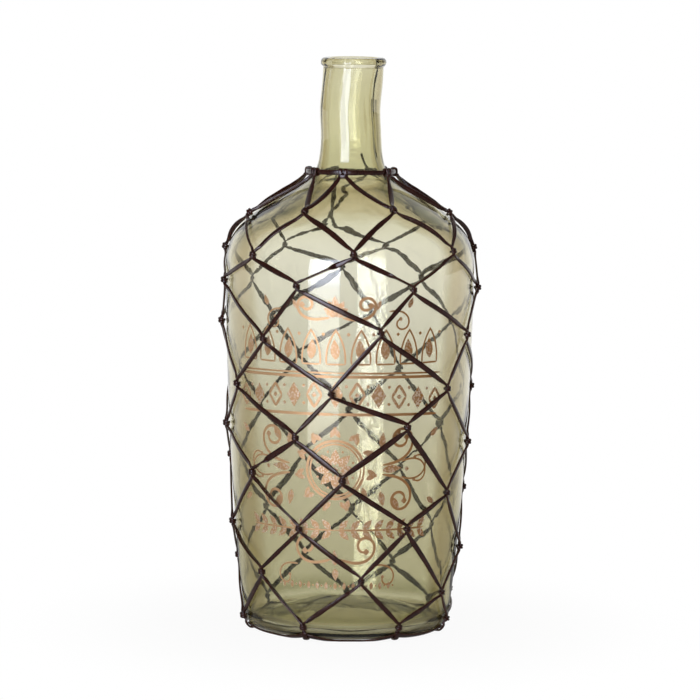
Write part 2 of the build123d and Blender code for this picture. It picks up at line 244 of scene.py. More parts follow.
# %% Uneven glass
wave_length = 0.028
outer_wave = 0.00006
inner_wave = 0.00032
ripple_height = 0.00034
ripples = ((5, 0.4), (9, 2.1), (14, 4.0))      # how many round the neck, and where they start
fine_wave_share = 0.35
fine_wave_length = wave_length * 0.4
inner_wave_start = Vector((7, 3, 1))
neck_swell_loss = 0.5
neck_lean = 0.0010
neck_sway = 0.0009
sway_height = 0.335
sway_reach = 0.012
bore_shift = 0.0009


def neck_shift(height, inside):
    """How far the middle of the neck stands to the right at a height."""
    lean = neck_lean * ease((height - sway_height - neck_lean) / (bottle_height - sway_height))
    shift = lean - neck_sway * math.exp(-((height - sway_height) / sway_reach) ** 2)
    if inside:
        in_neck = ease((height - shoulder_height) / flare_length)
        shift -= bore_shift * in_neck * ease((neck_top_height - height) / sway_reach)
    return shift


def glass_wave(place, inside):
    """How far the wall stands out of true at a place on the glass."""
    if not inside:
        return outer_wave * noise.noise(place / wave_length)
    swell = inner_wave * noise.noise(place / wave_length + inner_wave_start)
    fine = inner_wave * fine_wave_share * noise.noise(place / fine_wave_length)
    neck_share = min(1, max(0, (place.z - shoulder_height) / flare_length))
    turn = math.atan2(place.x, -place.y)
    sway = noise.noise(Vector((0, 0, place.z / wave_length)))
    drawn = sum(math.sin(count * turn + start + sway) for count, start in ripples)
    body_part = (swell + fine) * (1 - neck_swell_loss * neck_share)
    return body_part + ripple_height * neck_share * drawn / len(ripples)


# %% Spin the outline
glass_segments = 192


def spin_glass(outside, inside):
    """The closed wall of the bottle: rings round every point off the axis."""
    spun = bmesh.new()
    inner_mark = spun.verts.layers.float.new("inner_face")
    points = [(p, False) for p in outside] + [(p, True) for p in inside]
    normals = []
    for index, (point, _) in enumerate(points):
        run = points[min(index + 1, len(points) - 1)][0] - points[max(index - 1, 0)][0]
        normals.append(Vector((run.y, -run.x)).normalized())
    foot = spun.verts.new((0, 0, glass_floor + punt_height))
    top = spun.verts.new((0, 0, glass_floor + punt_height + base_thickness))
    rings = []
    for (point, within), normal in zip(points, normals):
        ring = []
        for step in range(glass_segments):
            turn = 2 * math.pi * step / glass_segments
            place = Vector((point.x * math.sin(turn), -point.x * math.cos(turn), point.y))
            calm = min(1, point.x / heel_radius)
            shift = normal * glass_wave(place, within) * calm
            radius = point.x + shift.x
            aside = neck_shift(point.y, within)
            vertex = spun.verts.new((
                radius * math.sin(turn) + aside, -radius * math.cos(turn),
                glass_floor + max(point.y + shift.y, 0),
            ))
            vertex[inner_mark] = within
            ring.append(vertex)
        rings.append(ring)
    for near, far in zip(rings, rings[1:]):
        for step in range(glass_segments):
            beside = (step + 1) % glass_segments
            spun.faces.new((near[step], near[beside], far[beside], far[step]))
    for ring, middle in ((rings[0], foot), (rings[-1], top)):
        for step in range(glass_segments):
            spun.faces.new((ring[step], ring[(step + 1) % glass_segments], middle))
    bmesh.ops.recalc_face_normals(spun, faces=spun.faces)
    return spun


glass_mesh = spin_glass(outside_line, inside_line)
print("glass faces:", len(glass_mesh.faces))

# %% [markdown]
# ## One way to finish every piece
# Each piece becomes an object that rides on the one body of the model, takes its finish and
# hides the CAD nodes it stands for. This could be written out for each piece, but one helper
# keeps it the same.

# %% Helpers that turn a mesh into an object and a piece


def new_object(mesh_code, name, material):
    """An object from a bmesh, with one material."""
    mesh = bpy.data.meshes.new(name)
    mesh_code.to_mesh(mesh)
    mesh_code.free()
    mesh.materials.append(material)
    made = bpy.data.objects.new(name, mesh)
    bpy.context.collection.objects.link(made)
    return made


def new_piece(mesh_code, name, material, nodes=(), smooth=True):
    """A piece from a bmesh, riding on the bottle's only body."""
    piece = new_object(mesh_code, name, material)
    faces = piece.data.polygons
    faces.foreach_set("use_smooth", [smooth] * len(faces))
    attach(piece, "root")
    if nodes:
        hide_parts(*nodes)
    print(name, len(faces), "faces")


# %% [markdown]
# ## Short ways to mix a finish
# A finish in Blender is a tree of small nodes. They could be added, set and linked one line at
# a time, but then what the finish does is hard to see. These helpers add a node and fill its
# inputs in one line, and each input takes either a plain value or the output of another node.

# %% Helpers for finishes


class Finish:
    """The node tree of a finish, with short ways to add to it."""

    def __init__(self, tree):
        self.nodes, self.links = tree.nodes, tree.links
        self.shader = tree.nodes.get("Principled BSDF")
        self.output = tree.nodes.get("Material Output")

    def join(self, socket, value):
        """Link an output to an input, or set the input to a plain value."""
        if isinstance(value, bpy.types.NodeSocket):
            self.links.new(value, socket)
        else:
            socket.default_value = value

    def fill(self, node, **inputs):
        """Join inputs of a node by name, with _ for a space."""
        for name, value in inputs.items():
            self.join(node.inputs[name.replace("_", " ")], value)
        return node

    def add(self, kind, settings=None, **inputs):
        """A new node, with its settings made before its inputs are filled."""
        node = self.nodes.new("ShaderNode" + kind)
        for name, value in (settings or {}).items():
            setattr(node, name, value)
        return self.fill(node, **inputs)

    def shade(self, **inputs):
        self.fill(self.shader, **inputs)

    def end(self, **inputs):
        self.fill(self.output, **inputs)

    def place(self):
        """Where a point is, in metres in the model's frame."""
        return self.add("TexCoord").outputs["Object"]

    def axis(self, vector, name):
        return self.add("SeparateXYZ", Vector=vector).outputs[name]

    def mark(self, name):
        """A number that the mesh carries on its points."""
        return self.add("Attribute", {"attribute_name": name}).outputs["Fac"]

    def noise(self, place, scale, **inputs):
        return self.add("TexNoise", Vector=place, Scale=scale, **inputs).outputs["Fac"]

    def bump(self, height, strength, distance, **inputs):
        node = self.add("Bump", Height=height, Strength=strength, Distance=distance, **inputs)
        return node.outputs["Normal"]

    def combine(self, operation, first, second):
        """Two numbers made into one."""
        node = self.add("Math", {"operation": operation})
        for socket, value in zip(node.inputs, (first, second)):
            self.join(socket, value)
        return node.outputs[0]

    def product(self, *values):
        """Numbers multiplied from first to last."""
        result = values[0]
        for value in values[1:]:
            result = self.combine("MULTIPLY", result, value)
        return result

    def fade(self, value, start, end, low=0.0, high=1.0, soft=False):
        """Low to high while a value goes from start to end, evenly or with soft ends."""
        kind = "SMOOTHSTEP" if soft else "LINEAR"
        return self.add(
            "MapRange", {"interpolation_type": kind},
            Value=value, From_Min=start, From_Max=end, To_Min=low, To_Max=high,
        ).outputs["Result"]

    def mix(self, factor, first, second, kind="RGBA", blend="MIX"):
        """Two colours, or two numbers where kind is FLOAT, mixed by a factor."""
        settings = {"data_type": kind, "blend_type": blend}
        return self.add("Mix", settings, Factor=factor, A=first, B=second).outputs["Result"]

    def ramp(self, value, stops):
        """A colour for each value, between stops of (value, colour)."""
        node = self.add("ValToRGB", Fac=value)
        elements = node.color_ramp.elements
        for index, (position, tint) in enumerate(stops):
            stop = elements[index] if index < 2 else elements.new(position)
            stop.position = position
            stop.color = (*tint, 1)
        return node.outputs["Color"]


def new_material(name):
    """A material and its finish."""
    material = bpy.data.materials.new(name)
    material.use_nodes = True
    return material, Finish(material.node_tree)


# %% [markdown]
# ## Olive glass
# The colour of bottle glass sits in its depth: a thin wall looks pale, and a long way through
# it looks dark. One even volume would do for an even wall, but here the heel and the shoulder
# look thicker than the crown. So a volume gives the base colour, and each face adds a tint by
# its height and by how much it slants away, which stands for the longer way through.
# The foot, where the bottle stood on a rough mould, is scuffed and half clear.
# The dark patches on the front of the shoulder are painted reflections, not the glass colour.

# %% Glass: tints by height and slant
tint_by_height = (
    # share of the height, then the tint of one pass through the wall
    (0.006, (0.88, 0.88, 0.80)),
    (0.014, (0.56, 0.55, 0.39)),
    (0.024, (0.85, 0.845, 0.73)),
    (0.038, (0.48, 0.475, 0.32)),
    (0.062, (0.70, 0.69, 0.56)),
    (0.12, (0.73, 0.715, 0.585)),
    (0.32, (0.80, 0.785, 0.69)),
    (0.52, (0.90, 0.90, 0.855)),
    (0.66, (1.0, 1.0, 0.965)),
    (0.75, (0.95, 0.945, 0.83)),
    (0.81, (0.82, 0.81, 0.64)),
    (0.88, (0.87, 0.86, 0.70)),
    (1.00, (0.93, 0.925, 0.82)),
)
tint_by_slant = (
    # how far the face slants away, then its tint
    (0.34, (1, 1, 1)),
    (0.46, (0.74, 0.67, 0.54)),
    (0.62, (0.70, 0.62, 0.48)),
    (0.74, (0.83, 0.79, 0.66)),
)
glass, finish = new_material("olive_glass")
place = finish.place()
height_share = finish.fade(finish.axis(place, "Z"), 0, bottle_height)
slant = finish.add("LayerWeight", Blend=0.5).outputs["Facing"]
clear_tint = finish.mix(1.0, finish.ramp(height_share, tint_by_height),
                        finish.ramp(slant, tint_by_slant), blend="MULTIPLY")
print("glass tints:", len(tint_by_height), "by height,", len(tint_by_slant), "by slant")

# %% Glass: painted dark reflections on the shoulder
# Painted reflection: dark patches of a mirrored dark room, painted into the colour of the
# shoulder's outer front face
dark_reflection_by_height = (
    (0.665, (0, 0, 0)),
    (0.710, (1, 1, 1)),
    (0.790, (1, 1, 1)),
    (0.825, (0, 0, 0)),
)
dark_reflection_by_slant = (
    (0.44, (0, 0, 0)),
    (0.55, (1, 1, 1)),
    (0.66, (1, 1, 1)),
    (0.78, (0.2, 0.2, 0.2)),
)
dark_reflection_tint = (0.07, 0.075, 0.05, 1)
reflection_patch_scale = 55
inner_face = finish.mark("inner_face")
behind = finish.add("NewGeometry").outputs["Backfacing"]
outer_front = finish.combine("LESS_THAN", finish.combine("ADD", inner_face, behind), 0.5)
# noise breaks the painted dark reflections into patches
reflection_patches = finish.fade(finish.noise(place, reflection_patch_scale), 0.35, 0.60, 0.6, 1.0)
dark_reflection_share = finish.product(outer_front, finish.ramp(height_share, dark_reflection_by_height),
                             finish.ramp(slant, dark_reflection_by_slant), reflection_patches)
finish.shade(Base_Color=finish.mix(dark_reflection_share, clear_tint, dark_reflection_tint))
print("shoulder shade from", dark_reflection_by_height[0][0], "to", dark_reflection_by_height[-1][0], "of the height")

# %% Glass: fine waves inside, and the scuffed foot
wave_scale = 220
wave_depth = 0.00003
wave_stretch = (1, 1, 1.4)
foot_roughness = 0.45
foot_clearness = 0.45
wall_clearness = 0.985
stretched = finish.add("Mapping", Vector=place, Scale=wave_stretch).outputs["Vector"]
fine_waves = finish.noise(stretched, wave_scale, Detail=1)
finish.shade(
    Normal=finish.bump(fine_waves, inner_face, wave_depth),
    Roughness=finish.fade(height_share, 0.005, 0.016, foot_roughness, 0.0),
    Transmission_Weight=finish.fade(height_share, 0.006, 0.011, foot_clearness, wall_clearness),
    IOR=1.5,
)
absorb = finish.add("VolumeAbsorption", Color=(0.50, 0.43, 0.05, 1), Density=60)
finish.end(Volume=absorb.outputs["Volume"])

new_piece(glass_mesh, "bottle_glass", glass, ["glass_bottle"])

# %% [markdown]
# ## Where the laces lie
# Everything in the net lies on the glass, so the script needs to know, for any point near it,
# where the glass is and which way it faces. A shrink-wrap modifier could find that, but the
# outline already holds the answer in two dimensions, which is exact and quick.

# %% The side of the glass as a list of samples
side = []
for here, following in zip(side_line, side_line[1:] + [outer_flare[-1]]):
    run = (following - here).normalized()
    side.append((here.x, here.y + glass_floor, run.y, -run.x))
print("side samples:", len(side))


def blend_samples(low, high, share):
    return tuple(a + (b - a) * share for a, b in zip(low, high))


def side_at_height(height):
    """The glass at a height above the floor: radius, height, and the way it faces."""
    for low, high in zip(side, side[1:]):
        if low[1] <= height < high[1]:
            return blend_samples(low, high, (height - low[1]) / (high[1] - low[1]))
    return side[-1]


def side_at_radius(radius):
    """The glass of the flare where its outer radius is as given."""
    for high, low in zip(side[::-1], side[-2::-1]):
        if high[0] <= radius < low[0]:
            return blend_samples(low, high, (low[0] - radius) / (low[0] - high[0]))
    return side[-1]


def side_nearest(radius, height):
    """The nearest glass to a point, and how far outside it the point is."""
    best = None
    for low, high in zip(side, side[1:]):
        run_x, run_y = high[0] - low[0], high[1] - low[1]
        along = (radius - low[0]) * run_x + (height - low[1]) * run_y
        share = min(1.0, max(0.0, along / (run_x ** 2 + run_y ** 2)))
        away = math.hypot(low[0] + run_x * share - radius, low[1] + run_y * share - height)
        if best is None or away < best[0]:
            best = (away, low, high, share)
    found = blend_samples(*best[1:])
    return found, (radius - found[0]) * found[2] + (height - found[1]) * found[3]


def side_below(sample, drop):
    """The glass a given way further down the outline."""
    index = max(i for i, other in enumerate(side) if i == 0 or other[1] < sample[1])
    here = sample
    while index > 0:
        step = math.dist(here[:2], side[index][:2])
        if step >= drop:
            return blend_samples(here, side[index], drop / step)
        drop -= step
        here = side[index]
        index -= 1
    return here


# %% Places round the bottle


def round_bottle(turn, radius, height):
    """A point at a turn to the right from the front, in radians."""
    return Vector((radius * math.sin(turn), -radius * math.cos(turn), height))


class Seat:
    """A place on the glass, with its right, its up and its way out."""

    def __init__(self, sample, turn):
        self.origin = round_bottle(turn, sample[0], sample[1])
        self.right = Vector((math.cos(turn), math.sin(turn), 0))
        self.out = round_bottle(turn, sample[2], sample[3])
        self.up = self.out.cross(self.right)

    def at(self, right, up, out):
        return self.origin + self.right * right + self.up * up + self.out * out


def seat_nearest(point):
    """The seat on the glass under a point, and how far outside the glass the point is."""
    sample, outside = side_nearest(math.hypot(point.x, point.y), point.z)
    return Seat(sample, math.atan2(point.x, -point.y)), outside


# %% [markdown]
# ## The copper print
# The front of the glass carries an ornament in copper foil: thin peach-coloured lines and
# bolder shapes in worn bronze. A texture could paint it, but real foil has an edge that
# catches the light. So each line is a stroke: a thin closed ribbon that lies on the wavy glass,
# along a path drawn in millimetres on the unrolled wall, from the middle of the print and up
# from the base. Scrolls are drawn as the wrist draws them, with a bend that grows evenly.

# %% Paths on the unrolled wall
print_turn = math.radians(-6)
print_radius = 0.078
thin_line = 1.15
full_line = 1.8
path_step = 0.8
line_end_share = 0.45
line_end_growth = 8
leaf_tip = 0.15
leaf_swell = 1.25
leaf_lean = 0.8
leaf_bend = 0.03
diamond_tip = 0.1
dot_end_share = 0.01


def scroll(start, heading, length, first_bend, last_bend):
    """A path whose bend (turn per millimetre) grows evenly from first to last."""
    count = max(6, round(length / path_step))
    place, angle = Vector(start), math.radians(heading)
    path = [place.copy()]
    for step in range(count):
        angle += (first_bend + (last_bend - first_bend) * (step + 0.5) / count) * length / count
        place += Vector((math.cos(angle), math.sin(angle))) * (length / count)
        path.append(place.copy())
    return path


def straight(start, end):
    start, end = Vector(start), Vector(end)
    count = max(3, round((end - start).length / path_step / 2))
    return [start.lerp(end, step / count) for step in range(count + 1)]


def circle(middle, radius):
    count = max(16, round(2 * math.pi * radius / path_step))
    turns = (2 * math.pi * step / count for step in range(count + 1))
    return [Vector(middle) + Vector((math.cos(t), math.sin(t))) * radius for t in turns]


def even(width):
    """A stroke of one width, with softly rounded ends."""
    return lambda share: width * min(1, line_end_share + line_end_growth * min(share, 1 - share))


def tapered(width):
    """A stroke that starts thin, swells and ends thin, as a leaf or a petal does."""
    swell = width * leaf_swell - leaf_tip
    return lambda share: leaf_tip + swell * math.sin(math.pi * share ** leaf_lean)


def pointed(width):
    """A diamond: straight sides that meet in points."""
    return lambda share: diamond_tip + width * (1 - abs(2 * share - 1))


def round_dot(width):
    return lambda share: width * math.sqrt(max(dot_end_share, 1 - (2 * share - 1) ** 2))


# %% The strokes of the ornament
strokes = []      # each is (path, width at a share of its length, how bold)


def draw(path, width, bold=0.0, mirrored=True):
    """Add a stroke, and its mirror image on the other side of the middle line."""
    strokes.append((path, width, bold))
    if mirrored:
        strokes.append(([Vector((-p.x, p.y)) for p in path], width, bold))


def leaf(base, heading, length, width, bold=0.6, mirrored=True):
    path = scroll(base, heading, length, leaf_bend, -leaf_bend)
    draw(path, tapered(width), bold, mirrored)


def dot(x, y, size, bold=0.8, mirrored=True):
    draw(straight((x - size / 2, y), (x + size / 2, y)), round_dot(size), bold, mirrored)


def scroll_with_dot(start, heading, length, first_bend, last_bend, width):
    path = scroll(start, heading, length, first_bend, last_bend)
    draw(path, even(width))
    dot(path[-1].x, path[-1].y, width * 2.2, 0.3)


# %% A crest: a fan of leaves between two pairs of scrolls
fan_height = 210
for heading, length in ((90, 13), (60, 11), (32, 9)):
    leaf((0, fan_height), heading, length, 4.2, 0.8, mirrored=heading != 90)
scroll_with_dot((4, fan_height - 1), -8, 50, -0.020, 0.33, full_line)
scroll_with_dot((33, fan_height + 3), 10, 34, -0.02, -0.34, thin_line)
leaf((24, fan_height + 4), 55, 7, 2.6)
leaf((46, fan_height + 5), 65, 7, 2.6)
print("strokes so far:", len(strokes))

# %% A row of tall tulips, outlined, each with a bold bud
tulip_foot, tulip_pitch, tulip_half = 179.5, 15.6, 5.8
for index in range(5):
    x = tulip_pitch * index
    for way in (-1, 1):
        draw(scroll((x + way * tulip_half, tulip_foot), 90 - way * 6, 23.5, way * 0.031,
                    way * 0.031), even(thin_line), 0.1, mirrored=index > 0)
    draw(straight((x - tulip_half, tulip_foot), (x + tulip_half, tulip_foot)), even(thin_line),
         0.1, mirrored=index > 0)
    leaf((x, tulip_foot + 3), 90, 13, 4.6, 0.7, mirrored=index > 0)
    dot(x + tulip_pitch / 2, tulip_foot + 19, 2.2, 0.3)
print("strokes so far:", len(strokes))

# %% A bold band of diamonds, filled and hollow by turns, between arched rules
band_height, band_pitch = 160, 13.6
for index in range(6):
    x = band_pitch * index
    tall, wide = 17 - 0.7 * index, 9.6
    lift = -0.16 * index ** 2
    ends = ((x, band_height + lift - tall / 2), (x, band_height + lift + tall / 2))
    if index % 2 == 0:
        draw(straight(*ends), pointed(wide), 1.0, mirrored=index > 0)
    else:
        corners = [ends[0], (x + wide / 2, band_height + lift), ends[1],
                   (x - wide / 2, band_height + lift), ends[0]]
        for start, end in zip(corners, corners[1:]):
            draw(straight(start, end), even(full_line), 0.5)
        dot(x, band_height + lift, 3.0, 1.0)
    if index < 5:
        dot(x + band_pitch / 2, band_height + lift + 5.5, 2.2)
        dot(x + band_pitch / 2, band_height + lift - 5.5, 2.2)
rules = ((174, 72, thin_line), (171.6, 70, full_line), (147.6, 70, full_line))
for height, reach, width in rules:
    draw(scroll((0, height), 0, reach, -0.0004, -0.0010), even(width), 0.1)
print("strokes so far:", len(strokes))

# %% A round wreath with a rosette, and scrolls on both sides
wreath = Vector((0, 112))
for radius, width in ((16.5, thin_line), (18.6, full_line)):
    draw(circle(wreath, radius), even(width), 0.2, mirrored=False)
wreath_leaves = 22
for index in range(wreath_leaves):
    turn = 2 * math.pi * index / wreath_leaves
    foot = wreath + Vector((math.cos(turn), math.sin(turn))) * 21
    leaf(foot, math.degrees(turn) + (38 if index % 2 else -38), 8, 2.7, 0.5, mirrored=False)
for index in range(8):
    turn = math.pi / 4 * index
    way = Vector((math.cos(turn), math.sin(turn)))
    draw(straight(wreath + way * 3, wreath + way * 13.5), tapered(4.6), 1.0, mirrored=False)
    beside = wreath + Vector((math.cos(turn + math.pi / 8), math.sin(turn + math.pi / 8))) * 12.5
    dot(beside.x, beside.y, 1.7, 0.5, mirrored=False)
dot(wreath.x, wreath.y, 4.2, 1.0, mirrored=False)
for way in (-1, 1):
    scroll_with_dot((31, 112 + 3 * way), 8 * way, 66, 0.0, 0.24 * way, full_line)
    scroll_with_dot((44, 112 + 5 * way), 18 * way, 36, -0.015 * way, -0.21 * way, thin_line)
    leaf((38, 112 + 18 * way), 60 * way, 10, 3.4)
    leaf((30, 112 + 14 * way), 82 * way, 10, 3.4)
    leaf((66, 112 + 20 * way), 35 * way, 8, 3.0)
leaf((31, 112), 0, 13, 4.0, 0.9)
dot(48, 112, 3.0)
print("strokes so far:", len(strokes))

# %% A band of paired leaves on a rule, a swash below it, and a last bold row
stem_height = 73
draw(straight((0, stem_height), (64, stem_height)), even(thin_line))
for index in range(8):
    for way in (-1, 1):
        leaf((8.0 * index + 3, stem_height + 0.6 * way), 44 * way, 8.4, 3.3, 0.9)
scroll_with_dot((3, 54), -16, 56, -0.006, 0.25, full_line)
scroll_with_dot((27, 50), 4, 34, 0.0, -0.30, thin_line)
leaf((0, 50), 90, 10, 3.6, mirrored=False)
leaf((0, 48), -90, 8, 3.6, mirrored=False)
for index in range(7):
    x = 6.4 * index
    draw(straight((x, 34), (x, 39)), pointed(3.4), 0.7, mirrored=index > 0)
    dot(x + 3.2, 36.5, 1.4, 0.7)
print("strokes:", len(strokes))

# %% Lay the foil on the glass
foil_under = 0.00002
foil_over = 0.00007
millimetre = 0.001


def on_print(place, level):
    """The point of the glass at a place of the print, lifted by the foil's thickness."""
    turn = print_turn + place.x * millimetre / print_radius
    sample = side_at_height(glass_floor + place.y * millimetre)
    wall_place = round_bottle(turn, sample[0], sample[1] - glass_floor)
    out = round_bottle(turn, sample[2], sample[3])
    lifted = wall_place + out * (glass_wave(wall_place, False) + level)
    return lifted + Vector((0, 0, glass_floor))


def lay_stroke(foil_code, bold_mark, path, width_at, bold):
    """A closed ribbon: rows of points across the stroke, over and under the foil."""
    count = len(path)
    rows = []
    for index, place in enumerate(path):
        ahead = (path[min(index + 1, count - 1)] - path[max(index - 1, 0)]).normalized()
        across = Vector((-ahead.y, ahead.x)) * width_at(index / (count - 1)) / 2
        row = []
        for level, shares in ((foil_over, (-1, 0, 1)), (foil_under, (1, 0, -1))):
            for share in shares:
                vertex = foil_code.verts.new(on_print(place + across * share, level))
                vertex[bold_mark] = bold
                row.append(vertex)
        rows.append(row)
    for near, far in zip(rows, rows[1:]):
        for step in range(len(near)):
            beside = (step + 1) % len(near)
            foil_code.faces.new((near[step], near[beside], far[beside], far[step]))
    foil_code.faces.new(rows[0][::-1])
    foil_code.faces.new(rows[-1])


foil_mesh = bmesh.new()
bold_mark = foil_mesh.verts.layers.float.new("bold_foil")
for path, width_at, bold in strokes:
    lay_stroke(foil_mesh, bold_mark, path, width_at, bold)
bmesh.ops.recalc_face_normals(foil_mesh, faces=foil_mesh.faces)

# %% Copper foil
# A lit and a shaded copy of the copper colour, painted across the print
painted_lit_tone = (0.69, 0.42, 0.22, 1)
painted_shaded_tone = (0.42, 0.19, 0.06, 1)
worn_tone = (0.80, 0.64, 0.48, 1)
bold_darkening = 0.3
speck_scale = 950
foil, finish = new_material("copper_foil")
place = finish.place()
bold_share = finish.mark("bold_foil")
# Painted light and shade: paler on the left where the key lamp falls, darker bronze to the right;
# bold shapes are darker print
painted_shade_share = finish.fade(finish.axis(place, "X"), -0.020, 0.045)
painted_shade_and_bold_share = finish.combine("MAXIMUM", painted_shade_share, finish.product(bold_share, bold_darkening))
print_tone_with_painted_light = finish.mix(painted_shade_and_bold_share, painted_lit_tone, painted_shaded_tone)
specks = finish.noise(place, speck_scale, Detail=3)
worn = finish.product(finish.fade(specks, 0.52, 0.57), bold_share)
finish.shade(
    Base_Color=finish.mix(worn, print_tone_with_painted_light, worn_tone),
    Roughness=finish.fade(specks, 0, 1, 0.38, 0.55),
    Normal=finish.bump(specks, 0.3, 0.00005),
    Metallic=0.5,
)
new_piece(foil_mesh, "copper_foil_ornament", foil, smooth=False)

# %% [markdown]
# ## Where the knots are
# The net was tied by hand, so no two cells are alike. Two tables say where each knot lies: how
# far it slipped sideways from its even place, in column spacings, and how high it is, in bottle
# heights. Random slips would look hand-tied too, but they wouldn't give this net. The tables
# are those of the CAD model, so the dressed net lies on the same knots.

# %% Knot tables
neck_turn_shares = (-0.19, 0.07, -0.04, -0.05, -0.03, -0.04, -0.05)
knot_turn_shares = (
    (0.04, 0.06, 0.06, 0.20, -0.06, -0.06, -0.06),
    (0.03, 0.05, -0.04, 0.16, 0.13, 0.09, 0.05),
    (0.06, 0.10, 0.29, 0.06, 0.04, 0.04, 0.04),
    (0.27, 0.29, 0.33, 0.30, 0.28, 0.29, 0.20),
    (0.48, 0.46, 0.51, 0.49, 0.36, 0.31, 0.35),
    (0.54, 0.47, 0.47, 0.50, 0.47, 0.46, 0.52),
    (0.56, 0.50, 0.46, 0.45, 0.50, 0.51, 0.45),
    (0.58, 0.51, 0.49, 0.46, 0.45, 0.49, 0.54),
    (0.63, 0.60, 0.49, 0.47, 0.48, 0.57, 0.64),
    (0.56, 0.32, 0.41, 0.50, 0.55, 0.58, 0.55),
)
knot_height_shares = (
    (0.739, 0.727, 0.717, 0.714, 0.716, 0.724, 0.735),
    (0.672, 0.672, 0.664, 0.651, 0.654, 0.663, 0.664),
    (0.614, 0.602, 0.600, 0.608, 0.600, 0.614, 0.619),
    (0.541, 0.526, 0.528, 0.533, 0.528, 0.538, 0.524),
    (0.438, 0.420, 0.431, 0.457, 0.452, 0.439, 0.436),
    (0.377, 0.334, 0.339, 0.350, 0.366, 0.361, 0.358),
    (0.254, 0.238, 0.252, 0.274, 0.293, 0.288, 0.286),
    (0.199, 0.146, 0.156, 0.171, 0.188, 0.188, 0.199),
    (0.075, 0.052, 0.079, 0.095, 0.112, 0.114, 0.110),
    (0.024, 0.023, 0.023, 0.024, 0.024, 0.022, 0.024),
)
row_count = len(knot_turn_shares)
column_count = len(neck_turn_shares)
column_spacing = 2 * math.pi / column_count


def knot_place(row, column):
    """The glass and the turn at a knot. Rows count from 1."""
    between = 0.5 if row % 2 else 0.0
    slip = knot_turn_shares[row - 1][column % column_count]
    height_share = knot_height_shares[row - 1][column % column_count]
    sample = side_at_height(glass_floor + height_share * bottle_height)
    return sample, (column + between + slip) * column_spacing


print("knots:", row_count * column_count)

# %% [markdown]
# ## Laying a lace
# Flat lace is cut from a hide, so its section is a thin rectangle with softened edges. A curve
# with a bevel could sweep it, but a curve can't widen, pinch and roll where it likes. Here a
# lace is a list of stations, each with a middle, a way its face looks, a width and a
# thickness, and the helper skins a rounded section from station to station.

# %% The section and the skin of a lace
lace_width = 0.0030
lace_thickness = 0.0012
lace_gap = 0.0002
corner_share = 0.42
crown_share = 0.07
corner_steps = 3


def lace_section(width, depth):
    """Points round the section as (across, out, how far on the cut edge)."""
    radius = depth * corner_share
    points = []
    for side_x, side_y in ((1, 1), (-1, 1), (-1, -1), (1, -1)):
        middle_x = side_x * (width / 2 - radius)
        middle_y = side_y * (depth / 2 - radius)
        start = math.atan2(side_y, side_x) - math.pi / 4
        for step in range(corner_steps):
            turn = start + math.pi / 2 * step / (corner_steps - 1)
            points.append((
                middle_x + radius * math.cos(turn),
                middle_y + radius * math.sin(turn),
                abs(math.cos(turn)),
            ))
        if side_x * side_y > 0:
            points.append((0, side_y * depth * (0.5 + crown_share), 0))
    return points


wander_length = 0.006
width_wander = 0.10
span_wander_length = 0.045
span_wander = 0.30


def skin_lace(mesh_code, stations, endless=False):
    """Skin a lace through stations of (middle, normal, width, depth)."""
    edge_mark = mesh_code.verts.layers.float.get("cut_edge")
    if edge_mark is None:
        edge_mark = mesh_code.verts.layers.float.new("cut_edge")
    rings = []
    last_normal = stations[0][1]
    count = len(stations)
    for index, (middle, normal, width, depth) in enumerate(stations):
        if endless:
            before, after = stations[index - 1][0], stations[(index + 1) % count][0]
        else:
            before = stations[max(index - 1, 0)][0]
            after = stations[min(index + 1, count - 1)][0]
        ahead = (after - before).normalized()
        if normal.dot(last_normal) < 0:
            normal = -normal
        last_normal = normal
        across = ahead.cross(normal).normalized()
        out = across.cross(ahead).normalized()
        width = width * (1 + width_wander * noise.noise(middle / wander_length)
                         + span_wander * noise.noise(middle / span_wander_length))
        ring = []
        for x, y, edge in lace_section(width, depth):
            vertex = mesh_code.verts.new(middle + across * x + out * y)
            vertex[edge_mark] = edge
            ring.append(vertex)
        rings.append(ring)
    pairs = list(zip(rings, rings[1:]))
    if endless:
        pairs.append((rings[-1], rings[0]))
    else:
        mesh_code.faces.new(rings[0])
        mesh_code.faces.new(rings[-1][::-1])
    for near, far in pairs:
        size = len(near)
        for step in range(size):
            beside = (step + 1) % size
            mesh_code.faces.new((near[beside], near[step], far[step], far[beside]))


print("section points:", len(lace_section(lace_width, lace_thickness)))

# %% [markdown]
# ## Tight strands
# Between two knots a lace is drawn tight. It takes the straight way where that clears the
# glass and hugs the wall where it doesn't. It lies flat in the middle, and near a knot it is
# pinched narrow and rolls up on edge. Some strands stay on edge for a part or all of their
# length: their lace was twisted when the knot was tied. A simulation could pull each one tight,
# but the way of a tight lace is simple enough to work out.

# %% A strand from knot to knot
strand_step = 0.0013
pinched_width = 0.0018
pinched_depth = 0.0015
pinch_reach = 0.009
level_reach = 0.007
resting_level = lace_gap + lace_thickness / 2
contact_blend = 0.0005
on_edge_turn = math.radians(78)
span_width = 0.0033
taper_reach = 0.016
slack_bow = 0.0024
slack_share = 0.6
roll_share = 0.15


def roll_between(first, second, share):
    """A normal between two, where a face and its back count as the same."""
    if first.dot(second) < 0:
        second = -second
    return first.lerp(second, share).normalized()


